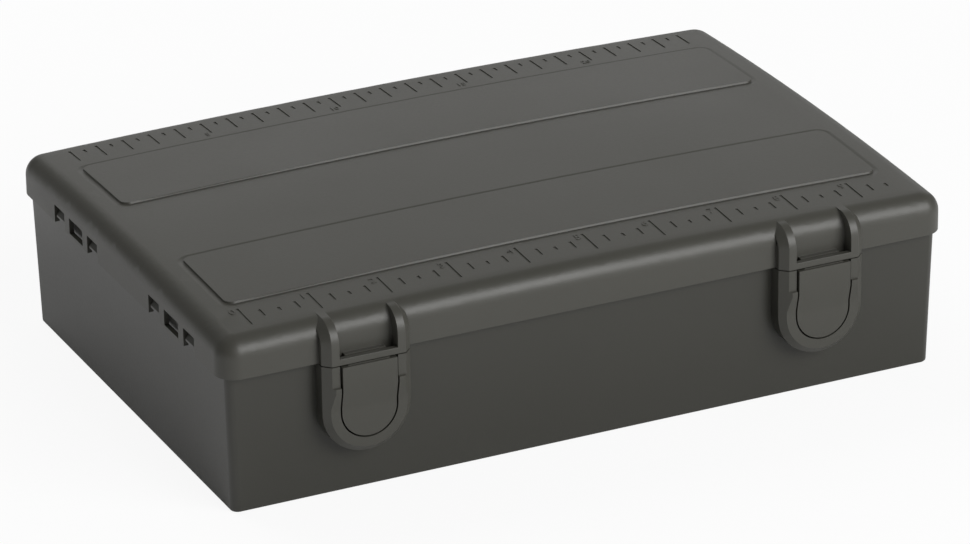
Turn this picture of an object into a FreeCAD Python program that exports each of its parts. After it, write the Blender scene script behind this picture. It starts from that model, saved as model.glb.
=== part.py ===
import FreeCAD, Part
import Sketcher
import math
import os
import re

# A shallow moulded tackle box: a ribbed tray with removable dividers, closed by
# an overlapping lid that turns on two rear hinges and is held by two front
# rocker latches. X runs along the length, -Y is the front, Z is up, and the
# origin lies under the middle of the box on the surface that it stands on.

doc = FreeCAD.newDocument("tackle_box")
sheet = doc.addObject("Spreadsheet::Sheet", "Sizes")

# Driving dimensions in millimetres, angles in degrees, counts and shares plain.
SIZES = {
    # Lid, measured over its skirt
    "lid_length": 271.3,
    "lid_depth": 182.4,
    "parting_height": 50.1,
    "crown_height": 67.9,
    "crown_length_radius": 4590.0,
    "crown_depth_radius": 1780.0,
    "lid_corner_radius": 7.5,
    "lid_roll_radius": 7.0,
    "lid_wall": 1.8,
    # Raised panels on the lid
    "panel_margin": 13.0,
    "panel_outer_edge": 65.1,
    "panel_inner_edge": 25.5,
    "panel_rise": 0.6,
    "panel_bevel": 0.25,
    "panel_corner_radius": 3.4,
    # Engraved rulers
    "inch": 25.4,
    "inch_count": 9.5,
    "centimetre": 10.0,
    "centimetre_count": 24.0,
    "mark_width": 0.9,
    "mark_depth": 0.3,
    "inch_marks_front": 75.2,
    "inch_long_mark": 12.4,
    "inch_mid_mark": 5.0,
    "inch_short_mark": 2.4,
    "centimetre_marks_rear": 82.4,
    "centimetre_long_mark": 10.4,
    "centimetre_short_mark": 2.8,
    "centimetre_short_inset": 1.2,
    # Tray
    "tray_overhang": 2.5,
    "tray_draft": 1.43,
    "tray_wall": 2.0,
    "tray_floor": 2.2,
    "tray_corner_radius": 2.9,
    "tray_foot_radius": 0.9,
    "rim_rise": 7.4,
    "lane_wall": 1.8,
    "lane_wall_height": 54.5,
    "middle_lane_width": 56.0,
    # Dividers and the ribs that hold them
    "divider_thickness": 1.6,
    "divider_height": 50.0,
    "divider_play": 0.3,
    "divider_scallop_width": 26.0,
    "divider_scallop_depth": 7.0,
    "rib_width": 1.3,
    "rib_reach": 2.8,
    "rib_height": 46.0,
    "slot_count": 9.0,
    # Latches
    "latch_offset": 85.2,
    "latch_reach": 4.9,
    "latch_half_width": 16.1,
    "latch_flank": 2.7,
    "latch_bevel": 45.0,
    "ear_bend_radius": 8.0,
    "ear_bend_depth": 8.0,
    "opening_half_width": 10.5,
    "latch_arc_height": 32.4,
    "waist_top": 42.3,
    "waist_bottom": 40.5,
    "waist_reach": 0.9,
    "waist_lip": 0.2,
    "waist_fall": 1.4,
    "waist_run": 6.0,
    "parting_gap": 0.3,
    "button_gap": 0.6,
    "button_thickness": 2.0,
    "pivot_height": 40.0,
    "pivot_radius": 1.3,
    "pivot_setback": 0.6,
    "pivot_seat": 1.9,
    "pivot_end_gap": 0.3,
    "pivot_play": 0.06,
    "bar_height": 2.3,
    "bar_thickness": 2.0,
    "catch_gap": 0.9,
    "catch_thickness": 1.4,
    "catch_half_width": 7.5,
    "catch_drop": 5.1,
    "catch_barb": 0.8,
    "catch_barb_height": 1.5,
    "catch_play": 0.3,
    # Windows in the short sides of the skirt, and the lugs behind them
    "window_height": 6.7,
    "rear_group_start": 57.7,
    "front_group_start": -27.9,
    "end_window": 9.2,
    "mid_window": 12.1,
    "window_post": 4.5,
    "sill_height": 1.0,
    "lug_side_play": 1.0,
    "lug_face_play": 0.4,
    "lug_lift": 2.3,
    "lug_lip_height": 0.8,
    "lug_height": 4.0,
    # Hinges
    "hinge_offset": 80.0,
    "knuckle_radius": 2.5,
    "knuckle_clearance": 0.35,
    "knuckle_gap": 0.3,
    "tray_knuckle": 7.0,
    "lid_knuckle": 10.0,
    "lid_bracket": 7.5,
    "tray_bracket": 12.0,
    "pin_radius": 1.0,
    "pin_fit": 0.02,
    "pin_play": 0.1,
    # One overrun for every cut and every piece that sinks into its carrier, and the
    # greater headroom over the crown, whose trimming profile drops towards the edges
    "overrun": 1.0,
    "cut_headroom": 12.0,
}

for row, (alias, value) in enumerate(SIZES.items(), start=1):
    sheet.set(f"A{row}", alias)
    sheet.set(f"B{row}", repr(value))
    sheet.setAlias(f"B{row}", alias)
doc.recompute()


def bound(expression):
    """Point every size's name in a sum at its cell."""
    return re.sub(r"\b([a-z]+(?:_[a-z]+)*)\b",
                  lambda word: f"Sizes.{word[0]}" if word[0] in SIZES else word[0],
                  expression)


def value_of(expression):
    result = sheet.evalExpression(bound(expression))
    return float(getattr(result, "Value", result))


# Sums that several pieces share
HALF_LENGTH = "(lid_length / 2)"
HALF_DEPTH = "(lid_depth / 2)"
FRONT = f"({HALF_DEPTH} + latch_reach)"
PROUD_FRONT = f"({FRONT} + waist_reach)"
LOW_FRONT = f"({PROUD_FRONT} - waist_fall)"
HINGE_Y = f"({HALF_DEPTH} + knuckle_radius + knuckle_clearance)"
MIDDLE_Y = f"(({PROUD_FRONT} - {HINGE_Y} - knuckle_radius) / 2)"
TRAY_X = f"({HALF_LENGTH} - tray_overhang - parting_height * tan(tray_draft * 1deg))"
TRAY_Y = f"({HALF_DEPTH} - tray_overhang - parting_height * tan(tray_draft * 1deg))"
CORE_X = f"({TRAY_X} - tray_wall)"
CORE_Y = f"({TRAY_Y} - tray_wall)"
LANE_Y = "(middle_lane_width / 2)"
LANE_OUTER_Y = f"({LANE_Y} + lane_wall)"
LEDGE_Y = f"({HALF_DEPTH} - tray_overhang)"
RIM_CORNER = "(lid_corner_radius - tray_overhang)"
SLOT_PITCH = f"(2 * {CORE_X} / (slot_count + 1))"
PANEL_END = f"({HALF_LENGTH} - panel_margin)"
UNDER_CROWN = "(crown_height - lid_roll_radius)"
PIVOT_Y = f"({PROUD_FRONT} - button_thickness - pivot_setback)"
LATCH_TOP = (f"(crown_height - latch_offset * latch_offset / (2 * crown_length_radius)"
             f" - ({FRONT} - ear_bend_depth) * ({FRONT} - ear_bend_depth)"
             f" / (2 * crown_depth_radius))")


def new_body(label):
    body = doc.addObject("PartDesign::Body", label)
    body.Label = label
    return body


def origin_plane(body, role):
    return next(part for part in body.Origin.OriginFeatures if part.Role == role)


def pin_axis(sketch, geometry, point, kind, expression):
    """Hold one coordinate of a sketch point at a sum."""
    size = value_of(expression)
    if expression.strip() == "0":
        axis = -2 if kind == "DistanceX" else -1
        sketch.addConstraint(Sketcher.Constraint("PointOnObject", geometry, point, axis))
        return
    if size < 0:
        rule = Sketcher.Constraint(kind, geometry, point, -1, 1, -size)
        expression = f"-({expression})"
    else:
        rule = Sketcher.Constraint(kind, -1, 1, geometry, point, size)
    number = sketch.addConstraint(rule)
    sketch.setExpression(f"Constraints[{number}]", bound(expression))


def pin_point(sketch, geometry, point, place):
    """Hold one point of a sketch at the two sums of place."""
    pin_axis(sketch, geometry, point, "DistanceX", place[0])
    pin_axis(sketch, geometry, point, "DistanceY", place[1])


def new_sketch(body, name, role, offset="0"):
    sketch = body.newObject("Sketcher::SketchObject", name)
    sketch.AttachmentSupport = (origin_plane(body, role), [""])
    sketch.MapMode = "FlatFace"
    if offset != "0":
        sketch.setExpression("AttachmentOffset.Base.z", bound(offset))
    return sketch


def vector(place):
    return FreeCAD.Vector(value_of(place[0]), value_of(place[1]), 0)


def add_loop(sketch, places):
    """Draw one closed outline of straight lines through places."""
    first = sketch.GeometryCount
    count = len(places)
    for index in range(count):
        start, end = vector(places[index]), vector(places[(index + 1) % count])
        sketch.addGeometry(Part.LineSegment(start, end))
    for index in range(count):
        following = first + (index + 1) % count
        sketch.addConstraint(Sketcher.Constraint("Coincident", first + index, 2, following, 1))
        pin_point(sketch, first + index, 1, places[index])


def add_tombstone(sketch, half_width, top, centre_height, centre_x):
    """Draw an outline with a flat top, straight sides and a round bottom."""
    left, right = f"{centre_x} - {half_width}", f"{centre_x} + {half_width}"
    corners = [(right, centre_height), (right, top), (left, top), (left, centre_height)]
    first = sketch.GeometryCount
    for start, end in zip(corners, corners[1:]):
        sketch.addGeometry(Part.LineSegment(vector(start), vector(end)))
    circle = Part.Circle(vector((centre_x, centre_height)), FreeCAD.Vector(0, 0, 1),
                         value_of(half_width))
    sketch.addGeometry(Part.ArcOfCircle(circle, math.pi, 2 * math.pi))
    for index, corner in enumerate(corners[:3]):
        pin_point(sketch, first + index, 1, corner)
    pin_point(sketch, first + 2, 2, corners[3])
    for index in range(2):
        rule = Sketcher.Constraint("Coincident", first + index, 2, first + index + 1, 1)
        sketch.addConstraint(rule)
    sketch.addConstraint(Sketcher.Constraint("Coincident", first + 2, 2, first + 3, 1))
    sketch.addConstraint(Sketcher.Constraint("Coincident", first + 3, 2, first, 1))
    pin_axis(sketch, first + 3, 3, "DistanceY", centre_height)


def add_circle(sketch, centre, radius):
    circle = Part.Circle(vector(centre), FreeCAD.Vector(0, 0, 1), value_of(radius))
    number = sketch.addGeometry(circle)
    pin_point(sketch, number, 3, centre)
    rule = sketch.addConstraint(Sketcher.Constraint("Radius", number, value_of(radius)))
    sketch.setExpression(f"Constraints[{rule}]", bound(radius))


def rectangle(left, right, low, high):
    return [(left, low), (right, low), (right, high), (left, high)]


def volume(body):
    return body.Shape.Volume


def extrude(body, name, sketch, length, cut=False, reverse=False, midplane=False, taper=None):
    """Pad or pocket a sketch, and make sure that it changed the body."""
    doc.recompute()
    before = 0 if body.Tip is None or body.Shape.isNull() else volume(body)
    kind = "PartDesign::Pocket" if cut else "PartDesign::Pad"
    feature = body.newObject(kind, name)
    feature.Profile = sketch
    feature.setExpression("Length", bound(length))
    feature.Midplane = midplane
    feature.Reversed = reverse
    if taper:
        feature.setExpression("TaperAngle", bound(taper))
    doc.recompute()
    change = volume(body) - before
    if (cut and change >= 0) or (not cut and change <= 0):
        raise RuntimeError(f"{body.Label}.{name} changed nothing: {change}")
    return feature


def edge_names(shape, wanted):
    return [f"Edge{index}" for index, edge in enumerate(shape.Edges, start=1) if wanted(edge)]


def dress(body, kind, name, wanted, size):
    """Round or bevel the edges of the body's tip that wanted picks."""
    base = body.Tip
    names = edge_names(base.Shape, wanted)
    if not names:
        raise RuntimeError(f"{body.Label}.{name} finds no edges")
    feature = body.newObject(f"PartDesign::{kind}", name)
    feature.Base = (base, names)
    feature.setExpression("Radius" if kind == "Fillet" else "Size", bound(size))
    doc.recompute()
    return feature


def combine(body, name, kind, others):
    feature = body.newObject("PartDesign::Boolean", name)
    feature.Type = kind
    feature.setObjects(others)
    doc.recompute()
    return feature


def mirror(body, name, originals, role):
    feature = body.newObject("PartDesign::Mirrored", name)
    feature.Originals = originals
    feature.MirrorPlane = (origin_plane(body, role), [""])
    body.Tip = feature
    doc.recompute()
    return feature


def repeat_along_x(body, name, originals, count, spacing):
    feature = body.newObject("PartDesign::LinearPattern", name)
    feature.Originals = originals
    feature.Direction = (origin_plane(body, "X_Axis"), [""])
    feature.Mode = "Spacing"
    feature.setExpression("Offset", bound(spacing))
    feature.setExpression("Occurrences", bound(count))
    body.Tip = feature
    doc.recompute()
    return feature


def is_upright(edge):
    ends = [vertex.Point for vertex in edge.Vertexes]
    return (len(ends) == 2 and abs(ends[0].x - ends[1].x) + abs(ends[0].y - ends[1].y)
            < abs(ends[0].z - ends[1].z) * SLOPE_SHARE)


def is_above(edge, height):
    return edge.BoundBox.ZMin > value_of(height) and not is_upright(edge)


SLOPE_SHARE = 0.2

# How deep a rib or boss sinks into the wall that carries it, as a share of that wall
SEAT_SHARE = 0.75

parts = []


def finish_part(body):
    """Stand a finished piece in the frame whose origin is under the middle of the box."""
    body.setExpression("Placement.Base.y", bound(MIDDLE_Y))
    parts.append(body)
    return body


def cut_crown(body, name, lift, keep="below"):
    """Trim a body to the lid's crown, raised by lift, or keep what is above it."""
    sketch = new_sketch(body, f"{name}_profile", "XZ_Plane")
    radius, half = f"(crown_length_radius + {lift})", f"({HALF_LENGTH} + overrun)"
    top = f"(crown_height + {lift})"
    centre = f"({top} - {radius})"
    end_height = f"({centre} + sqrt({radius} * {radius} - {half} * {half}))"
    side = "(crown_height + cut_headroom)" if keep == "below" else f"({UNDER_CROWN} - overrun)"
    corners = [(half, end_height), (half, side), (f"-{half}", side), (f"-{half}", end_height)]
    circle = Part.Circle(vector(("0", centre)), FreeCAD.Vector(0, 0, 1), value_of(radius))
    spread = math.asin(value_of(half) / value_of(radius))
    quarter = math.pi / 2
    sketch.addGeometry(Part.ArcOfCircle(circle, quarter - spread, quarter + spread))
    for start, end in zip(corners, corners[1:]):
        sketch.addGeometry(Part.LineSegment(vector(start), vector(end)))
    sketch.addConstraint(Sketcher.Constraint("Coincident", 0, 1, 1, 1))
    sketch.addConstraint(Sketcher.Constraint("Coincident", 1, 2, 2, 1))
    sketch.addConstraint(Sketcher.Constraint("Coincident", 2, 2, 3, 1))
    sketch.addConstraint(Sketcher.Constraint("Coincident", 3, 2, 0, 2))
    pin_point(sketch, 1, 1, corners[0])
    pin_point(sketch, 1, 2, corners[1])
    pin_point(sketch, 2, 2, corners[2])
    pin_point(sketch, 3, 2, corners[3])
    rule = sketch.addConstraint(Sketcher.Constraint("Radius", 0, value_of(radius)))
    sketch.setExpression(f"Constraints[{rule}]", bound(radius))
    axis_height = "(crown_height - crown_depth_radius)"
    left, right = (f"-{half}", axis_height), (half, axis_height)
    axis = sketch.addGeometry(Part.LineSegment(vector(left), vector(right)), True)
    pin_point(sketch, axis, 1, left)
    pin_point(sketch, axis, 2, right)
    doc.recompute()
    before = volume(body)
    groove = body.newObject("PartDesign::Groove", name)
    groove.Profile = sketch
    groove.ReferenceAxis = (sketch, ["Axis0"])
    groove.Midplane = True
    groove.setExpression("Angle", bound(f"4 * asin({HALF_DEPTH} / crown_depth_radius)"))
    doc.recompute()
    if volume(body) >= before:
        raise RuntimeError(f"{body.Label}.{name} cuts nothing")
    return groove


def round_box(label, half_x, half_y, low, radius, roll, lift):
    """A block with rounded corners under the crown, whose top edge rolls over."""
    body = new_body(label)
    outline = new_sketch(body, f"{label}_outline", "XY_Plane", low)
    add_loop(outline, rectangle(f"-{half_x}", half_x, f"-{half_y}", half_y))
    extrude(body, f"{label}_block", outline, f"crown_height + 2 * overrun - ({low})")
    cut_crown(body, f"{label}_crown", lift)
    dress(body, "Fillet", f"{label}_corners", is_upright, radius)
    dress(body, "Fillet", f"{label}_roll", lambda edge: is_above(edge, f"{low} + overrun"), roll)
    return body


# Lid: one thin shell with a crowned top, rolled edges and an overlapping skirt
def add_marks(body, name, first_x, low, high, count, spacing):
    """One blade at first_x, repeated along the ruler."""
    sketch = new_sketch(body, f"{name}_outline", "XY_Plane", UNDER_CROWN)
    half = "mark_width / 2"
    add_loop(sketch, rectangle(f"{first_x} - {half}", f"{first_x} + {half}", low, high))
    blade = extrude(body, name, sketch, "lid_roll_radius + overrun")
    repeat_along_x(body, f"{name}_row", [blade], count, spacing)


def engraving():
    """Every ruler mark as a thin upright blade that stops mark_depth below the crown."""
    body = new_body("ruler_marks")
    inch_start = "(-inch * inch_count / 2)"
    kinds = (("inch_marks", "inch_long_mark", 0, "floor(inch_count) + 1", "inch"),
             ("half_inch_marks", "inch_short_mark", 2, "floor(inch_count + 1 / 2)", "inch"),
             ("quarter_inch_marks", "inch_mid_mark", 1, "floor(2 * inch_count)", "inch / 2"))
    for name, length, quarter, count, spacing in kinds:
        reach = f"({length} / 2)"
        add_marks(body, name, f"({inch_start} + inch * {quarter} / 4)",
                  f"-inch_marks_front - {reach}", f"-inch_marks_front + {reach}",
                  count, spacing)
    centimetre_start = "(-centimetre * centimetre_count / 2)"
    rear = "centimetre_marks_rear"
    add_marks(body, "centimetre_marks", centimetre_start, f"{rear} - centimetre_long_mark",
              rear, "centimetre_count + 1", "centimetre")
    rear = "(centimetre_marks_rear - centimetre_short_inset)"
    add_marks(body, "half_centimetre_marks", f"({centimetre_start} + centimetre / 2)",
              f"{rear} - centimetre_short_mark", rear, "centimetre_count", "centimetre")
    cut_crown(body, "ruler_depth", "-mark_depth", keep="above")
    return body


def panels(lid):
    """Two long raised panels with bevelled edges."""
    sketch = new_sketch(lid, "panel_outline", "XY_Plane", UNDER_CROWN)
    for low, high in (("-panel_outer_edge", "-panel_inner_edge"),
                      ("panel_inner_edge", "panel_outer_edge")):
        add_loop(sketch, rectangle(f"-{PANEL_END}", PANEL_END, low, high))
    extrude(lid, "panel_pads", sketch, "lid_roll_radius + 2 * overrun")
    cut_crown(lid, "panel_crown", "panel_rise")
    half_length, outer = value_of(PANEL_END), SIZES["panel_outer_edge"]
    inner = SIZES["panel_inner_edge"]

    def on_corner(edge):
        centre = edge.CenterOfMass
        return (is_upright(edge) and abs(abs(centre.x) - half_length) < SLOPE_SHARE
                and min(abs(abs(centre.y) - outer), abs(abs(centre.y) - inner)) < SLOPE_SHARE)

    dress(lid, "Fillet", "panel_corners", on_corner, "panel_corner_radius")
    crown_top, rise = SIZES["crown_height"], SIZES["panel_rise"]

    def on_rim(edge):
        middle = edge.CenterOfMass
        drop = (middle.x ** 2 / SIZES["crown_length_radius"]
                + middle.y ** 2 / SIZES["crown_depth_radius"]) / 2
        return not is_upright(edge) and middle.z > crown_top - drop + rise / 2

    dress(lid, "Chamfer", "panel_bevels", on_rim, "panel_bevel")


def latch_ears(side, name):
    """The two ears and the thumb bar that carry the catch on the lid's front."""
    body = new_body(f"{name}_ears")
    profile = new_sketch(body, f"{name}_ears_profile", "YZ_Plane", f"{side} * latch_offset")
    bend = f"({LATCH_TOP} - ear_bend_radius)"
    inside = f"-({HALF_DEPTH} - lid_roll_radius - 3 * overrun)"
    corners = [(f"-({FRONT} - ear_bend_depth)", LATCH_TOP), (inside, LATCH_TOP),
               (inside, "parting_height"), (f"-{FRONT}", "parting_height"), (f"-{FRONT}", bend)]
    for start, end in zip(corners, corners[1:]):
        profile.addGeometry(Part.LineSegment(vector(start), vector(end)))
    circle = Part.Circle(vector((f"-({FRONT} - ear_bend_radius)", bend)),
                         FreeCAD.Vector(0, 0, 1), value_of("ear_bend_radius"))
    profile.addGeometry(Part.ArcOfCircle(circle, math.pi / 2, math.pi))
    count = len(corners)
    for index in range(count - 1):
        pin_point(profile, index, 1, corners[index])
        if index < count - 2:
            rule = Sketcher.Constraint("Coincident", index, 2, index + 1, 1)
            profile.addConstraint(rule)
    pin_point(profile, count - 2, 2, corners[-1])
    profile.addConstraint(Sketcher.Constraint("Coincident", count - 1, 2, count - 2, 2))
    profile.addConstraint(Sketcher.Constraint("Coincident", count - 1, 1, 0, 1))
    rule = profile.addConstraint(Sketcher.Constraint("Radius", count - 1,
                                                     value_of("ear_bend_radius")))
    profile.setExpression(f"Constraints[{rule}]", bound("ear_bend_radius"))
    extrude(body, f"{name}_ears_block", profile, "2 * latch_half_width", midplane=True)
    front = -value_of(FRONT)
    half_width = SIZES["latch_half_width"]
    middle = side * SIZES["latch_offset"]
    back = front + SIZES["ear_bend_depth"]

    def on_flank(edge):
        box = edge.BoundBox
        on_side = abs(abs(box.XMin - middle) - half_width) < SLOPE_SHARE
        faces_front = box.YMax < back + SLOPE_SHARE
        return on_side and box.XLength < SLOPE_SHARE and faces_front and box.ZLength > SLOPE_SHARE

    dress(body, "Chamfer", f"{name}_ears_flank", on_flank, "latch_flank")
    opening = new_sketch(body, f"{name}_pocket_outline", "XZ_Plane")
    left = f"({side} * latch_offset - opening_half_width)"
    right = f"({side} * latch_offset + opening_half_width)"
    top = "(crown_height + overrun)"
    add_loop(opening, rectangle(left, right, "parting_height + bar_height", top))
    extrude(body, f"{name}_pocket", opening, f"2 * {FRONT}", cut=True, midplane=True)
    under = new_sketch(body, f"{name}_under_outline", "XY_Plane", "parting_height - overrun")
    add_loop(under, rectangle(left, right, f"-({FRONT} - bar_thickness)", "0"))
    extrude(body, f"{name}_under", under, "bar_height + 2 * overrun", cut=True, reverse=True)
    return body


def catch(side, name):
    """The barbed lip that hangs behind the thumb bar and hooks under the button."""
    body = new_body(f"{name}_catch_lip")
    sketch = new_sketch(body, f"{name}_catch_profile", "YZ_Plane", f"{side} * latch_offset")
    back = f"-({HALF_DEPTH} - lid_wall / 2)"
    rear = f"-({FRONT} - bar_thickness - catch_gap - catch_thickness)"
    front = f"-({FRONT} - bar_thickness - catch_gap)"
    barb = f"-({FRONT} - bar_thickness - catch_gap + catch_barb)"
    top = "(parting_height + bar_height)"
    foot = "(parting_height - catch_drop)"
    add_loop(sketch, [(back, top), (back, "parting_height"), (rear, "parting_height"),
                      (rear, foot), (front, foot), (barb, f"{foot} + catch_barb"),
                      (barb, f"{foot} + catch_barb_height"),
                      (front, f"{foot} + catch_barb_height"), (front, top)])
    extrude(body, f"{name}_catch", sketch, "2 * catch_half_width", midplane=True)
    return body


def window_spans():
    """The start and end of every window along Y, with whether it has a sill."""
    spans = []
    for start in ("rear_group_start", "front_group_start"):
        first_end = f"({start} - end_window)"
        mid_start = f"({first_end} - window_post)"
        mid_end = f"({mid_start} - mid_window)"
        last_start = f"({mid_end} - window_post)"
        spans.append((first_end, start, False))
        spans.append((mid_end, mid_start, True))
        spans.append((f"({last_start} - end_window)", last_start, False))
    return spans


def windows(lid):
    """Openings through both short sides of the skirt."""
    sketch = new_sketch(lid, "window_outline", "YZ_Plane")
    top = "(parting_height + window_height)"
    for low, high, has_sill in window_spans():
        bottom = "(parting_height + sill_height)" if has_sill else "(parting_height - overrun)"
        add_loop(sketch, rectangle(low, high, bottom, top))
    extrude(lid, "window_cuts", sketch, "lid_length + 2 * overrun", cut=True, midplane=True)


def lid_knuckle(side, name):
    """The lid's hinge bracket with its knuckle."""
    body = new_body(f"{name}_lid_hinge")
    sketch = new_sketch(body, f"{name}_lid_bracket", "YZ_Plane", f"{side} * hinge_offset")
    root = f"({HALF_DEPTH} - lid_wall / 2)"
    add_loop(sketch, [(root, "parting_height"), (f"{HINGE_Y} + knuckle_radius", "parting_height"),
                      (HALF_DEPTH, "parting_height + lid_bracket"),
                      (root, "parting_height + lid_bracket")])
    extrude(body, f"{name}_lid_arm", sketch, "lid_knuckle", midplane=True)
    ring = new_sketch(body, f"{name}_lid_ring", "YZ_Plane", f"{side} * hinge_offset")
    add_circle(ring, (HINGE_Y, "parting_height"), "knuckle_radius")
    extrude(body, f"{name}_lid_knuckle", ring, "lid_knuckle", midplane=True)
    bore = new_sketch(body, f"{name}_lid_bore_outline", "YZ_Plane", f"{side} * hinge_offset")
    add_circle(bore, (HINGE_Y, "parting_height"), "pin_radius + pin_play")
    extrude(body, f"{name}_lid_bore", bore, "lid_knuckle + 2 * overrun", cut=True, midplane=True)
    return body


SIDES = ((-1, "left"), (1, "right"))

lid = round_box("lid", HALF_LENGTH, HALF_DEPTH, "parting_height", "lid_corner_radius",
                "lid_roll_radius", "0")
panels(lid)
combine(lid, "lid_with_ears", "Fuse", [latch_ears(side, name) for side, name in SIDES])
core = round_box("lid_core", f"({HALF_LENGTH} - lid_wall)", f"({HALF_DEPTH} - lid_wall)",
                 "parting_height - overrun", "lid_corner_radius - lid_wall",
                 "lid_roll_radius - lid_wall", "-lid_wall")
combine(lid, "lid_hollow", "Cut", [core])
windows(lid)
fittings = [make(side, name) for make in (catch, lid_knuckle) for side, name in SIDES]
combine(lid, "lid_with_fittings", "Fuse", fittings)
combine(lid, "lid_engraved", "Cut", [engraving()])
finish_part(lid)


# Tray: a drafted box with two lengthwise walls, guide ribs, latch housings and hinge arms
def drafted_block(label, half_x, half_y, low, high, radius):
    """A box with rounded upright corners that widens upwards by tray_draft."""
    body = new_body(label)
    outline = new_sketch(body, f"{label}_outline", "XY_Plane", low)
    add_loop(outline, rectangle(f"-{half_x}", half_x, f"-{half_y}", half_y))
    extrude(body, f"{label}_block", outline, f"{high} - ({low})", taper="tray_draft")
    dress(body, "Fillet", f"{label}_corners", is_upright, radius)
    return body


def lane_walls():
    """The two lengthwise walls, with upright ribs in pairs for the dividers."""
    body = new_body("tray_lanes")
    sketch = new_sketch(body, "lane_wall_outline", "XY_Plane", "tray_floor / 2")
    half = f"({CORE_X} + {SEAT_SHARE} * tray_wall)"
    add_loop(sketch, rectangle(f"-{half}", half, f"-{LANE_OUTER_Y}", f"-{LANE_Y}"))
    add_loop(sketch, rectangle(f"-{half}", half, LANE_Y, LANE_OUTER_Y))
    extrude(body, "lane_walls", sketch, "lane_wall_height - tray_floor / 2")
    sketch = new_sketch(body, "rib_outline", "XY_Plane", "tray_floor / 2")
    outer_root = f"({CORE_Y} + {SEAT_SHARE} * tray_wall)"
    spans = [(f"({CORE_Y} - rib_reach)", outer_root),
             (f"({LANE_Y} - rib_reach)", f"({LANE_OUTER_Y} + rib_reach)")]
    first_slot = f"((1 - slot_count) / 2 * {SLOT_PITCH})"
    aside = "(divider_thickness / 2 + divider_play)"
    for low, high in spans:
        for left, right in ((f"{first_slot} - {aside} - rib_width", f"{first_slot} - {aside}"),
                            (f"{first_slot} + {aside}", f"{first_slot} + {aside} + rib_width")):
            add_loop(sketch, rectangle(left, right, low, high))
            add_loop(sketch, rectangle(left, right, f"-{high}", f"-{low}"))
    ribs = extrude(body, "guide_ribs", sketch, "rib_height - tray_floor / 2")
    repeat_along_x(body, "guide_rib_row", [ribs], "slot_count", SLOT_PITCH)
    return body


def leg_front(foot):
    """The housing's stepped front in side view, from its top down to foot."""
    return [(f"-{FRONT}", "parting_height + overrun"), (f"-{FRONT}", "waist_top"),
            (f"-{PROUD_FRONT}", "waist_top - waist_lip"), (f"-{PROUD_FRONT}", "waist_bottom"),
            (f"-{LOW_FRONT}", "waist_bottom - waist_run"), (f"-{LOW_FRONT}", foot)]


def latch_housing(side, name):
    """A round-bottomed boss on the front wall, bevelled all round, open for the button."""
    body = new_body(f"{name}_latch_housing")
    middle = f"({side} * latch_offset)"
    root = f"({LEDGE_Y} - {SEAT_SHARE} * tray_wall)"
    shoulder = f"({FRONT} - latch_flank)"
    arc_height = "(latch_arc_height)"
    top = "(parting_height - parting_gap)"
    base = new_sketch(body, f"{name}_boss_outline", "XZ_Plane", root)
    add_tombstone(base, "latch_half_width", top, arc_height, middle)
    extrude(body, f"{name}_boss", base, f"{shoulder} - {root}")
    slope_top = f"({top} + latch_flank + waist_reach)"
    slope = new_sketch(body, f"{name}_bevel_outline", "XZ_Plane", shoulder)
    add_tombstone(slope, "latch_half_width", slope_top, arc_height, middle)
    extrude(body, f"{name}_bevel", slope, "latch_flank + waist_reach", taper="-latch_bevel")
    flat = new_sketch(body, f"{name}_top_outline", "XY_Plane", top)
    width = "(latch_half_width + overrun)"
    add_loop(flat, rectangle(f"{middle} - {width}", f"{middle} + {width}",
                             f"-({PROUD_FRONT} + overrun)", f"-{shoulder}"))
    extrude(body, f"{name}_top", flat, "latch_flank + 2 * overrun + waist_reach", cut=True,
            reverse=True)
    step = new_sketch(body, f"{name}_step_outline", "YZ_Plane", middle)
    ahead = f"-({PROUD_FRONT} + overrun)"
    foot = "(latch_arc_height - latch_half_width - overrun)"
    add_loop(step, leg_front(foot) + [(ahead, foot), (ahead, "parting_height + overrun")])
    extrude(body, f"{name}_step", step, f"2 * {width}", cut=True, midplane=True)
    hole = new_sketch(body, f"{name}_opening_outline", "XZ_Plane", LEDGE_Y)
    add_tombstone(hole, "opening_half_width", "(parting_height + overrun)", arc_height, middle)
    extrude(body, f"{name}_opening", hole, f"{PROUD_FRONT} + overrun - {LEDGE_Y}", cut=True,
            reverse=True)
    seat = new_sketch(body, f"{name}_seat_outline", "YZ_Plane", middle)
    add_circle(seat, (f"-{PIVOT_Y}", "pivot_height"), "pivot_radius + pivot_play")
    extrude(body, f"{name}_seat", seat, "2 * (opening_half_width + pivot_seat)", cut=True,
            midplane=True)
    return body


def lugs():
    """Wedges on the short walls that stand in the skirt's end windows."""
    body = new_body("tray_lugs")
    wedges = []
    root = f"-({HALF_LENGTH} - tray_overhang - {SEAT_SHARE} * tray_wall)"
    wall = f"-({HALF_LENGTH} - tray_overhang)"
    face = f"-({HALF_LENGTH} - lug_face_play)"
    low = "(parting_height + lug_lift)"
    for low_y, high_y, has_sill in window_spans():
        if has_sill:
            continue
        name = f"lug_{len(wedges) + 1}"
        sketch = new_sketch(body, f"{name}_profile", "XZ_Plane", f"-({low_y} + {high_y}) / 2")
        add_loop(sketch, [(root, low), (face, low), (face, f"{low} + lug_lip_height"),
                          (wall, f"{low} + lug_height"), (root, f"{low} + lug_height")])
        wedges.append(extrude(body, name, sketch, "end_window - 2 * lug_side_play",
                              midplane=True))
    mirror(body, "lugs_right", wedges, "YZ_Plane")
    return body


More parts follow.
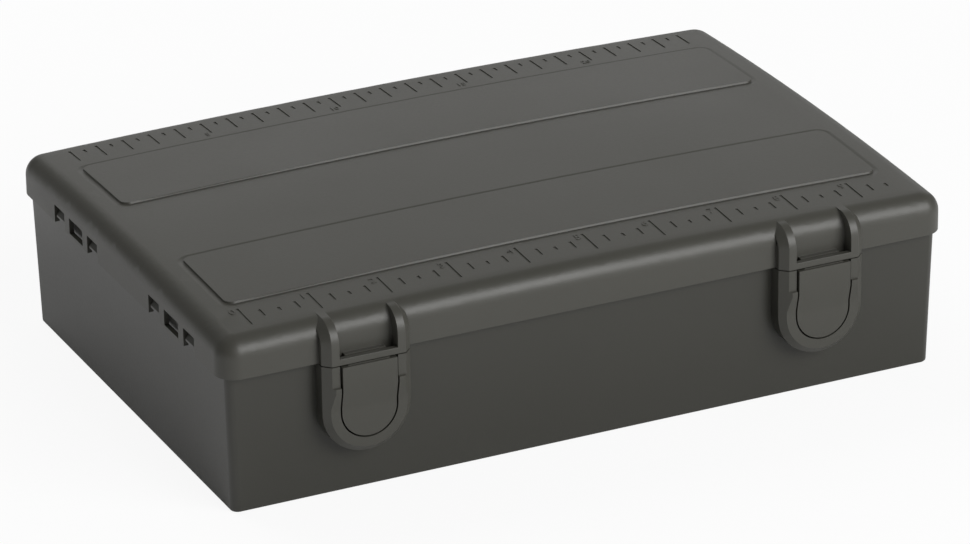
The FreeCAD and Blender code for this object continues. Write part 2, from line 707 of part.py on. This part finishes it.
def tray_hinge(side, name):
    """Two arms with knuckles, one on each side of the lid's knuckle."""
    body = new_body(f"{name}_tray_hinge")
    root = f"({LEDGE_Y} - {SEAT_SHARE} * tray_wall)"
    top = "(parting_height - parting_gap)"
    for hand, end in SIDES:
        shift = "(lid_knuckle / 2 + knuckle_gap + tray_knuckle / 2)"
        place = f"({side} * hinge_offset + {hand} * {shift})"
        arm = new_sketch(body, f"{name}_{end}_arm_profile", "YZ_Plane", place)
        add_loop(arm, [(root, "parting_height - tray_bracket"),
                       (f"{HINGE_Y} + knuckle_radius", top), (root, top)])
        extrude(body, f"{name}_{end}_arm", arm, "tray_knuckle", midplane=True)
        ring = new_sketch(body, f"{name}_{end}_ring", "YZ_Plane", place)
        add_circle(ring, (HINGE_Y, "parting_height"), "knuckle_radius")
        extrude(body, f"{name}_{end}_knuckle", ring, "tray_knuckle", midplane=True)
        bore = new_sketch(body, f"{name}_{end}_bore_outline", "YZ_Plane", place)
        add_circle(bore, (HINGE_Y, "parting_height"), "pin_radius + pin_fit")
        extrude(body, f"{name}_{end}_bore", bore, "tray_knuckle + knuckle_gap", cut=True,
                midplane=True)
    return body


def leaned(half, height):
    """The half width of a drafted wall at a height over the foot."""
    return f"({half} + {height} * tan(tray_draft * 1deg))"


SHOULDER = "(parting_height - parting_gap)"
RIM_FOOT = f"({SHOULDER} - overrun)"
tray = drafted_block("tray", TRAY_X, TRAY_Y, "0", SHOULDER, "tray_corner_radius")
dress(tray, "Fillet", "tray_foot", lambda edge: edge.BoundBox.ZMax < SLOPE_SHARE,
      "tray_foot_radius")
rim = drafted_block("tray_rim", leaned(TRAY_X, RIM_FOOT), leaned(TRAY_Y, RIM_FOOT), RIM_FOOT,
                    "parting_height + rim_rise", RIM_CORNER)
combine(tray, "tray_with_rim", "Fuse", [rim])
hollow = drafted_block("tray_core", leaned(CORE_X, "tray_floor"), leaned(CORE_Y, "tray_floor"),
                       "tray_floor", "parting_height + rim_rise + overrun",
                       f"{RIM_CORNER} - tray_wall")
combine(tray, "tray_hollow", "Cut", [hollow])
fittings = [make(side, name) for make in (latch_housing, tray_hinge) for side, name in SIDES]
combine(tray, "tray_with_fittings", "Fuse", fittings + [lugs(), lane_walls()])
finish_part(tray)


# Latch buttons: rockers on moulded stubs, hooked over the lid's catch
def latch_button(side, name):
    body = new_body(f"latch_button_{name}")
    middle = f"({side} * latch_offset)"
    half_width = "(opening_half_width - button_gap)"
    top = "(parting_height - button_gap)"
    foot = "(latch_arc_height - latch_half_width)"
    face = new_sketch(body, f"{name}_button_outline", "XZ_Plane", f"{LEDGE_Y}")
    add_tombstone(face, half_width, top, "(latch_arc_height)", middle)
    extrude(body, f"{name}_button_face", face, f"{PROUD_FRONT} + overrun - {LEDGE_Y}")
    plate = new_body(f"{name}_button_plate")
    side_view = new_sketch(plate, f"{name}_button_profile", "YZ_Plane", middle)
    upper, lower = "waist_bottom", "waist_bottom - waist_run"
    back, low_back = (f"-({edge} - button_thickness)" for edge in (PROUD_FRONT, LOW_FRONT))
    add_loop(side_view, [(f"-{PROUD_FRONT}", top), (f"-{PROUD_FRONT}", upper),
                         (f"-{LOW_FRONT}", lower), (f"-{LOW_FRONT}", foot), (low_back, foot),
                         (low_back, lower), (back, upper), (back, top)])
    extrude(plate, f"{name}_button_sheet", side_view, "2 * opening_half_width", midplane=True)
    combine(body, f"{name}_button_trimmed", "Common", [plate])
    stub = new_sketch(body, f"{name}_stub_outline", "YZ_Plane", middle)
    add_circle(stub, (f"-{PIVOT_Y}", "pivot_height"), "pivot_radius")
    extrude(body, f"{name}_stub", stub, "2 * (opening_half_width + pivot_seat - pivot_end_gap)",
            midplane=True)
    hook = new_sketch(body, f"{name}_hook_profile", "YZ_Plane", middle)
    inner = f"-({FRONT} - bar_thickness - catch_gap + catch_play)"
    root = f"-({PROUD_FRONT} - button_thickness / 2)"
    low = "(parting_height - catch_drop + catch_barb_height + catch_play)"
    add_loop(hook, [(root, low), (inner, low), (inner, f"{low} + catch_barb_height / 2"),
                    (back, f"{low} + 2 * catch_barb_height"),
                    (root, f"{low} + 2 * catch_barb_height")])
    extrude(body, f"{name}_hook", hook, "2 * catch_half_width", midplane=True)
    return finish_part(body)


for side, name in SIDES:
    latch_button(side, name)


# Hinge pins: straight steel wire, pressed into the tray's knuckles
for side, name in SIDES:
    pin = new_body(f"hinge_pin_{name}")
    section = new_sketch(pin, f"{name}_pin_outline", "YZ_Plane", f"{side} * hinge_offset")
    add_circle(section, (HINGE_Y, "parting_height"), "pin_radius")
    extrude(pin, f"{name}_pin_wire", section,
            "lid_knuckle + 2 * tray_knuckle + 2 * knuckle_gap", midplane=True)
    finish_part(pin)


# Dividers: loose plates with a finger scoop, dropped between the guide ribs
def divider(label, slot, low, high):
    body = new_body(label)
    place = f"(({slot} - (slot_count - 1) / 2) * {SLOT_PITCH})"
    outline = new_sketch(body, f"{label}_outline", "YZ_Plane", place)
    add_loop(outline, rectangle(low, high, "tray_floor", "tray_floor + divider_height"))
    extrude(body, f"{label}_plate", outline, "divider_thickness", midplane=True)
    scoop = new_sketch(body, f"{label}_scoop_outline", "YZ_Plane", place)
    half = "(divider_scallop_width / 2)"
    radius = f"(({half} * {half} / divider_scallop_depth + divider_scallop_depth) / 2)"
    centre = f"(tray_floor + divider_height - divider_scallop_depth + {radius})"
    add_circle(scoop, (f"({low} + {high}) / 2", centre), radius)
    extrude(body, f"{label}_scoop", scoop, "divider_thickness + 2 * overrun", cut=True,
            midplane=True)
    return finish_part(body)


near, far = f"({LANE_OUTER_Y} + divider_play)", f"({CORE_Y} - divider_play)"
half_lane = f"({LANE_Y} - divider_play)"
LANES = (("front", f"-{far}", f"-{near}", (0, 2, 4, 6, 8)),
         ("middle", f"-{half_lane}", half_lane, (1, 3, 5, 7)),
         ("rear", near, far, (0, 2, 4, 6, 8)))
for lane, low, high, slots in LANES:
    for number, slot in enumerate(slots, start=1):
        divider(f"{lane}_divider_{number}", slot, low, high)

doc.recompute()
for item in doc.Objects:
    if "Invalid" in item.State or "Error" in item.State:
        raise RuntimeError(f"{item.Label} failed: {item.State}")
for body in parts:
    if body.Shape.isNull() or not body.Shape.isValid():
        raise RuntimeError(f"{body.Label} has no valid shape")

os.makedirs("parts", exist_ok=True)
for body in parts:
    body.Shape.exportStep(f"parts/{body.Label}.step")
    box = body.Shape.BoundBox
    print(f"{body.Label}: {len(body.Shape.Solids)} solid, {volume(body):.0f} mm3,"
          f" X {box.XMin:.2f} {box.XMax:.2f} Y {box.YMin:.2f} {box.YMax:.2f}"
          f" Z {box.ZMin:.2f} {box.ZMax:.2f}")
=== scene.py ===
import bmesh
import bpy
import math
from mathutils import Matrix, Vector
from mathutils.bvhtree import BVHTree


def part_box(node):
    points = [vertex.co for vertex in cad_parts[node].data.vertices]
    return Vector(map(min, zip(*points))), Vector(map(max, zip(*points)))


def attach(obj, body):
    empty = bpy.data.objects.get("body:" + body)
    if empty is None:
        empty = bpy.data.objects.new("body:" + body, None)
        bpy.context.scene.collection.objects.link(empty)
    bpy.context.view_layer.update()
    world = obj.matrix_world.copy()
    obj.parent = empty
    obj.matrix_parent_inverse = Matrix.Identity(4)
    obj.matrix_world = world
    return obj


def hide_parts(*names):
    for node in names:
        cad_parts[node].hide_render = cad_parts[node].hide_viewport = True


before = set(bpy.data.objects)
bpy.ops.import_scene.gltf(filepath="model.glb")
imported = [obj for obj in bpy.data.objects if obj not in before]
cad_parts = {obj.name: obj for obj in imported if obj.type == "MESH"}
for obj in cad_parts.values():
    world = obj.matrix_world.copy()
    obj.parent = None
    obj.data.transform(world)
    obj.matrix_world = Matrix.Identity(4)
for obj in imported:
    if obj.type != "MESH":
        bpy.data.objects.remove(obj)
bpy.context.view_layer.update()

# The tray is one moulding in dark olive-grey polypropylene with a fine spark-eroded grain.
# Its walls lean out a little so that it leaves the mould, and are smoother than
# the latch housings on its front. Their colour is darker than the housings' only as painted
# shade, for the plastic is the same. Every outside edge is eased by the tool's own radius.
OLIVE, SHADE_DARKENED_WALL_OLIVE = (0.048, 0.047, 0.039), (0.033, 0.0325, 0.0265)
LATCH_ROUGHNESS, WALL_ROUGHNESS = 0.42, 0.33
LATCH_OFFSET, HOUSING_HALF, HOUSING_FRONT = 0.0852, 0.0175, -0.0915
FLOW_SCALE, PEBBLE_SCALE, SPECK_SCALE = 14, 2600, 900
FLOW_TINT, SPECK_TINT, CLOUDING = 0.6, 0.4, 0.12
FLOW_GLOSS, SPECK_GLOSS = 0.25, 0.2
PEBBLE_HEIGHT, SPECK_HEIGHT = 0.000021, 0.000014
PLASTIC_IOR = 1.49
EASED_EDGE, EASED_ANGLE = 0.00028, math.radians(38)
SHARP_ANGLE = math.radians(30)
WELD = 0.00001


class Wire:
    """A socket whose plus, minus and times signs, and abs(), add Math nodes."""

    def __init__(self, finish, socket):
        self.finish, self.socket = finish, socket

    def _math(self, operation, *inputs):
        return self.finish.node("ShaderNodeMath", inputs, operation=operation)

    def __add__(self, other):
        return self._math("ADD", self, other)

    def __radd__(self, other):
        return self._math("ADD", other, self)

    def __sub__(self, other):
        return self._math("SUBTRACT", self, other)

    def __rsub__(self, other):
        return self._math("SUBTRACT", other, self)

    def __mul__(self, other):
        return self._math("MULTIPLY", self, other)

    def __rmul__(self, other):
        return self._math("MULTIPLY", other, self)

    def __abs__(self):
        return self._math("ABSOLUTE", self)


class Finish:
    """A material whose nodes come from one method."""

    def __init__(self, name):
        self.material = bpy.data.materials.new(name)
        self.material.use_nodes = True
        self.tree = self.material.node_tree
        self.surface = self.tree.nodes["Principled BSDF"]

    def node(self, kind, values=(), output=0, **settings):
        made = self.tree.nodes.new(kind)
        for key, setting in settings.items():
            setattr(made, key, setting)
        pairs = values.items() if isinstance(values, dict) else enumerate(values)
        for key, value in pairs:
            self.feed(made.inputs[key], value)
        return Wire(self, made.outputs[output])

    def feed(self, socket, value):
        if isinstance(value, Wire):
            self.tree.links.new(value.socket, socket)
        else:
            socket.default_value = value

    def set(self, **values):
        for key, value in values.items():
            self.feed(self.surface.inputs[key.replace("_", " ")], value)

    def tint(self, mask, dark, light):
        return self.node("ShaderNodeMix", {"Factor": mask, "A": (*dark, 1), "B": (*light, 1)},
                         output="Result", data_type="RGBA")


def moulded_plastic(name, colour, roughness, relief=None):
    """Grained plastic: faint flow clouds, a pebbled skin and uneven gloss.

    relief is a function of the finish and its coordinates that gives a height in metres.
    """
    finish = Finish(name)
    place = finish.node("ShaderNodeTexCoord", output="Object")
    flow = finish.node("ShaderNodeTexNoise", {"Vector": place, "Scale": FLOW_SCALE, "Detail": 3,
                                              "Roughness": 0.55})
    pebble = finish.node("ShaderNodeTexNoise", {"Vector": place, "Scale": PEBBLE_SCALE,
                                                "Detail": 2})
    speck = finish.node("ShaderNodeTexNoise", {"Vector": place, "Scale": SPECK_SCALE,
                                               "Detail": 4})
    dark = [part * (1 - CLOUDING) for part in colour]
    light = [part * (1 + CLOUDING) for part in colour]
    gloss = (flow - 0.5) * FLOW_GLOSS + (speck - 0.5) * SPECK_GLOSS + 1
    height = pebble * PEBBLE_HEIGHT + speck * SPECK_HEIGHT
    if relief:
        height = height + relief(finish, place)
    bump = finish.node("ShaderNodeBump", {"Height": height, "Strength": 1, "Distance": 1})
    finish.set(Base_Color=finish.tint(flow * FLOW_TINT + speck * SPECK_TINT, dark, light),
               Roughness=gloss * roughness, Normal=bump, IOR=PLASTIC_IOR)
    return finish.material


def eased_copy(node, body, material, width=EASED_EDGE, keep=lambda edge: True, reshape=None):
    """A welded copy of a CAD node, with its real edges rounded, that stands for that node.

    keep is a function of an edge that says if it may be rounded, and reshape one of the
    welded bmesh that moves its vertices first.
    """
    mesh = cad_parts[node].data.copy()
    work = bmesh.new()
    work.from_mesh(mesh)
    bmesh.ops.remove_doubles(work, verts=work.verts, dist=WELD)
    bmesh.ops.dissolve_degenerate(work, dist=WELD, edges=work.edges)
    if reshape:
        reshape(work)
    weight = work.edges.layers.float.new("bevel_weight_edge")
    for edge in work.edges:
        if not edge.is_manifold:
            continue
        angle = edge.calc_face_angle(0)
        edge.smooth = angle < SHARP_ANGLE
        if angle > EASED_ANGLE and keep(edge):
            edge[weight] = 1
    for face in work.faces:
        face.smooth = True
    work.to_mesh(mesh)
    work.free()
    if mesh.has_custom_normals:
        mesh.attributes.remove(mesh.attributes["custom_normal"])
    mesh.materials.clear()
    mesh.materials.append(material)
    piece = bpy.data.objects.new(f"{node}_shell", mesh)
    bpy.context.collection.objects.link(piece)
    ease = piece.modifiers.new("eased_edges", "BEVEL")
    ease.width, ease.segments, ease.limit_method = width, 2, "WEIGHT"
    ease.use_clamp_overlap = True
    ease.harden_normals = True
    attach(piece, body)
    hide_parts(node)
    return piece


# The walls get a darker copy of the housings' olive as painted shade; the housings keep the
# plain olive.
tray_plastic = moulded_plastic("tray_plastic", SHADE_DARKENED_WALL_OLIVE, WALL_ROUGHNESS)
housing_plastic = moulded_plastic("latch_housing_plastic", OLIVE, LATCH_ROUGHNESS)
tray = eased_copy("tray", "tray", tray_plastic)
tray.data.materials.append(housing_plastic)
for face in tray.data.polygons:
    beside = abs(abs(face.center.x) - LATCH_OFFSET)
    if beside < HOUSING_HALF and face.center.y < HOUSING_FRONT:
        face.material_index = 1

# The dividers are thin loose plates of the same plastic in a paler shot, pushed down
# between the guide ribs, with a scooped top edge for the fingers.
DIVIDER_OLIVE, DIVIDER_ROUGHNESS = (0.06, 0.059, 0.05), 0.36
divider_plastic = moulded_plastic("divider_plastic", DIVIDER_OLIVE, DIVIDER_ROUGHNESS)
for node in sorted(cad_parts):
    if "divider" in node:
        divider = eased_copy(node, "tray", divider_plastic)

# The hinge pins are lengths of drawn steel wire, pressed into the tray's knuckles.
# Drawing leaves fine lines along the wire.
DARK_STEEL, LIGHT_STEEL = (0.42, 0.42, 0.43), (0.66, 0.66, 0.67)
DRAWN_SCALE = (60, 4000, 4000)
STEEL_ROUGHNESS, LINE_ROUGHNESS = 0.25, 0.2
PIN_EDGE = 0.00015
steel = Finish("hinge_wire")
place = steel.node("ShaderNodeTexCoord", output="Object")
along = steel.node("ShaderNodeMapping", {"Vector": place, "Scale": DRAWN_SCALE})
lines = steel.node("ShaderNodeTexNoise", {"Vector": along, "Scale": 1, "Detail": 3})
steel.set(Base_Color=steel.tint(lines, DARK_STEEL, LIGHT_STEEL),
          Roughness=lines * LINE_ROUGHNESS + STEEL_ROUGHNESS, Metallic=1)
for node in ("hinge_pin_left", "hinge_pin_right"):
    pin = eased_copy(node, "tray", steel.material, width=PIN_EDGE)

# The latch buttons are rockers of the tray's plastic on moulded stubs. Pressing the round
# lower end swings the hooked upper end away from the lid's catch.
BUTTON_EDGE = 0.00035
button_plastic = moulded_plastic("button_plastic", OLIVE, LATCH_ROUGHNESS)
for node in ("latch_button_left", "latch_button_right"):
    button = eased_copy(node, node, button_plastic, width=BUTTON_EDGE)

# The lid is one crowned shell with rolled edges, raised panels and engraved rulers. Its
# ears, thumb bars and catches are moulded with it. A shallow sunk line runs round each
# panel, whose edge is a slope.
LID_OLIVE, LID_ROUGHNESS = (0.05, 0.049, 0.041), 0.42
CROWN_REACH, CROWN_FOOT = 0.086, 0.0605
PANEL_HALF_LENGTH, PANEL_HALF_DEPTH, PANEL_CORNER = 0.12265, 0.0198, 0.0034
PANEL_PLACE, PANELS_REACH, LID_PLACE = 0.0453, 0.0658, 0.00045
PANEL_LEAN = 0.00014
STEEP_NORMAL, BEVEL_NORMAL, FLAT_NORMAL = 0.3, 0.5, 0.9
LINE_WIDTH, LINE_DEPTH = 0.0022, 0.0003


def sunk_lines(finish, place):
    """The height of the crown round each panel: a slope that sinks towards the panel."""
    across = finish.node("ShaderNodeSeparateXYZ", [place], output="X")
    deep = finish.node("ShaderNodeSeparateXYZ", [place], output="Y") - LID_PLACE
    past_end = abs(across) - (PANEL_HALF_LENGTH - PANEL_CORNER)
    past_side = abs(abs(deep) - PANEL_PLACE) - (PANEL_HALF_DEPTH - PANEL_CORNER)
    past_end = finish.node("ShaderNodeMath", [past_end, 0], operation="MAXIMUM")
    past_side = finish.node("ShaderNodeMath", [past_side, 0], operation="MAXIMUM")
    reach = finish.node("ShaderNodeMath", [past_end * past_end + past_side * past_side, 0.5],
                        operation="POWER")
    return finish.node("ShaderNodeMapRange", {"Value": reach - PANEL_CORNER, "From Min": 0,
                                              "From Max": LINE_WIDTH, "To Min": 0,
                                              "To Max": LINE_DEPTH},
                       interpolation_type="SMOOTHSTEP")


def off_the_crown(edge):
    """True unless the edge is on the crown, whose panels and marks are too fine to ease."""
    middle = (edge.verts[0].co + edge.verts[1].co) / 2
    return not (abs(middle.y) < CROWN_REACH and middle.z > CROWN_FOOT)


def lean_the_panels(work):
    """Draws the top of each panel's upright edge inwards, so that the edge is one slope."""
    for vertex in work.verts:
        if abs(vertex.co.y) > PANELS_REACH or vertex.co.z < CROWN_FOOT:
            continue
        steep = [face for face in vertex.link_faces if abs(face.normal.z) < STEEP_NORMAL]
        bevel = [face for face in vertex.link_faces
                 if BEVEL_NORMAL < face.normal.z < FLAT_NORMAL]
        if steep and bevel:
            outward = sum((face.normal for face in steep), Vector())
            outward.z = 0
            vertex.co -= outward.normalized() * PANEL_LEAN
    work.normal_update()


lid_plastic = moulded_plastic("lid_plastic", LID_OLIVE, LID_ROUGHNESS, relief=sunk_lines)
lid = eased_copy("lid", "lid", lid_plastic, keep=off_the_crown, reshape=lean_the_panels)

# The ruler numbers are moulded with the lid as low raised figures: whole inches beside
# the front marks and every fifth centimetre beside the rear ones.
INCH, INCH_RULER, INCH_NUMBERS = 0.0254, 9.5, range(10)
CENTIMETRE, CENTIMETRE_RULER, CENTIMETRE_NUMBERS = 0.01, 24, range(5, 24, 5)
INCH_FIGURE, INCH_GAP, INCH_FIGURE_Y = 0.0048, 0.0012, -0.0706
CENTIMETRE_FIGURE, CENTIMETRE_GAP, CENTIMETRE_FIGURE_Y = 0.0036, 0.0009, 0.0712
FIGURE_RISE = 0.00022
ABOVE_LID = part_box("lid")[1].z + 0.005

crown_shape = bmesh.new()
crown_shape.from_mesh(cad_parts["lid"].data)
crown = BVHTree.FromBMesh(crown_shape)
crown_shape.free()


def moulded_figure(text, size, x, y):
    """A low number that ends at x and follows the crown under it."""
    curve = bpy.data.curves.new(f"figure_{text}", "FONT")
    curve.body, curve.size, curve.extrude = text, size, FIGURE_RISE
    curve.align_x, curve.align_y = "RIGHT", "CENTER"
    letters = bpy.data.objects.new("letters", curve)
    bpy.context.collection.objects.link(letters)
    bpy.context.view_layer.update()
    mesh = bpy.data.meshes.new_from_object(letters)
    bpy.data.objects.remove(letters)
    for vertex in mesh.vertices:
        spot = Vector((vertex.co.x + x, vertex.co.y + y, ABOVE_LID))
        surface = crown.ray_cast(spot, Vector((0, 0, -1)))[0]
        vertex.co = (spot.x, spot.y, surface.z + vertex.co.z)
    return mesh


figures = bmesh.new()
for numbers, unit, ruler, size, gap, y in (
        (INCH_NUMBERS, INCH, INCH_RULER, INCH_FIGURE, INCH_GAP, INCH_FIGURE_Y),
        (CENTIMETRE_NUMBERS, CENTIMETRE, CENTIMETRE_RULER, CENTIMETRE_FIGURE, CENTIMETRE_GAP,
         CENTIMETRE_FIGURE_Y)):
    for number in numbers:
        mark = (number - ruler / 2) * unit
        figures.from_mesh(moulded_figure(str(number), size, mark - gap, y))
bmesh.ops.remove_doubles(figures, verts=figures.verts, dist=WELD / 10)
figure_mesh = bpy.data.meshes.new("ruler_figures")
figures.to_mesh(figure_mesh)
figures.free()
figure_mesh.materials.append(lid_plastic)
ruler_figures = bpy.data.objects.new("ruler_figures", figure_mesh)
bpy.context.collection.objects.link(ruler_figures)
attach(ruler_figures, "lid")

# The box stands on a wide sheet of white paper that the camera sees brighter than the
# lamps leave it, and that keeps the box's soft shadow.
FLOOR_HALF = 3
PAPER_WHITE, PAPER_ROUGHNESS = (0.9, 0.9, 0.9, 1), 0.9
GLOW_SHARE = 0.9
sheet = bmesh.new()
bmesh.ops.create_grid(sheet, x_segments=1, y_segments=1, size=FLOOR_HALF)
floor_mesh = bpy.data.meshes.new("floor")
sheet.to_mesh(floor_mesh)
sheet.free()
floor = bpy.data.objects.new("floor", floor_mesh)
bpy.context.collection.objects.link(floor)
paper = Finish("paper")
paper.set(Base_Color=PAPER_WHITE, Roughness=PAPER_ROUGHNESS)
seen = paper.node("ShaderNodeLightPath", output="Is Camera Ray")
glow = paper.node("ShaderNodeEmission", {"Color": (1, 1, 1, 1), "Strength": 1})
lit = Wire(paper, paper.surface.outputs["BSDF"])
blend = paper.node("ShaderNodeMixShader", [seen * GLOW_SHARE, lit, glow])
paper.feed(paper.tree.nodes["Material Output"].inputs["Surface"], blend)
floor_mesh.materials.append(paper.material)

# The studio is pale to the camera and dim to the box, which three softboxes light: one
# high behind on the left, one behind on the right and a strong one in front.
SKY_STRENGTH = 0.18
world = bpy.data.worlds.new("studio")
bpy.context.scene.world = world
world.use_nodes = True
sky = world.node_tree
dim = sky.nodes["Background"]
dim.inputs["Color"].default_value = (1, 1, 1, 1)
dim.inputs["Strength"].default_value = SKY_STRENGTH
white = sky.nodes.new("ShaderNodeBackground")
path = sky.nodes.new("ShaderNodeLightPath")
choice = sky.nodes.new("ShaderNodeMixShader")
sky.links.new(path.outputs["Is Camera Ray"], choice.inputs[0])
sky.links.new(dim.outputs[0], choice.inputs[1])
sky.links.new(white.outputs[0], choice.inputs[2])
sky.links.new(choice.outputs[0], sky.nodes["World Output"].inputs["Surface"])


def softbox(name, place, size, power, glossy=True):
    """A rectangular lamp that faces the box; radiance is its power over pi times its area."""
    lamp = bpy.data.lights.new(name, "AREA")
    lamp.shape, lamp.size, lamp.size_y, lamp.energy = "RECTANGLE", size[0], size[1], power
    box = bpy.data.objects.new(name, lamp)
    bpy.context.collection.objects.link(box)
    box.location = place
    box.rotation_euler = (-Vector(place)).to_track_quat("-Z", "Y").to_euler()
    box.visible_glossy = glossy


softbox("key", place=(-0.4, 1.3, 1.3), size=(1.2, 1.2), power=16, glossy=False)
softbox("rear_panel", place=(0.95, 1.75, 0.75), size=(2.2, 1.0), power=4.7)
softbox("front_panel", place=(0.8, -1.6, 1.05), size=(1.6, 1.2), power=38)

# The camera stands to the front left and a little above, far back with a long lens, so
# that the long edges of the box run together only slightly.
AZIMUTH, ELEVATION, ROLL = (math.radians(angle) for angle in (-25.065, 24.072, -0.852))
DISTANCE, FOCAL_LENGTH, CLIP_END = 2.04103, 215.79, 20
TARGET = Vector((0.00222, -0.000175, 0.02599))
back = Vector((math.sin(AZIMUTH) * math.cos(ELEVATION),
               -math.cos(AZIMUTH) * math.cos(ELEVATION), math.sin(ELEVATION)))
level = Vector((math.cos(AZIMUTH), math.sin(AZIMUTH), 0))
upright = back.cross(level)
right = level * math.cos(ROLL) + upright * math.sin(ROLL)
up = upright * math.cos(ROLL) - level * math.sin(ROLL)
camera = bpy.data.objects.new("camera", bpy.data.cameras.new("camera"))
bpy.context.collection.objects.link(camera)
camera.data.lens, camera.data.clip_end = FOCAL_LENGTH, CLIP_END
turn = Matrix((right, up, back)).transposed().to_4x4()
camera.matrix_world = Matrix.Translation(TARGET + back * DISTANCE) @ turn
bpy.context.scene.camera = camera
bpy.context.scene.view_settings.view_transform = "Standard"
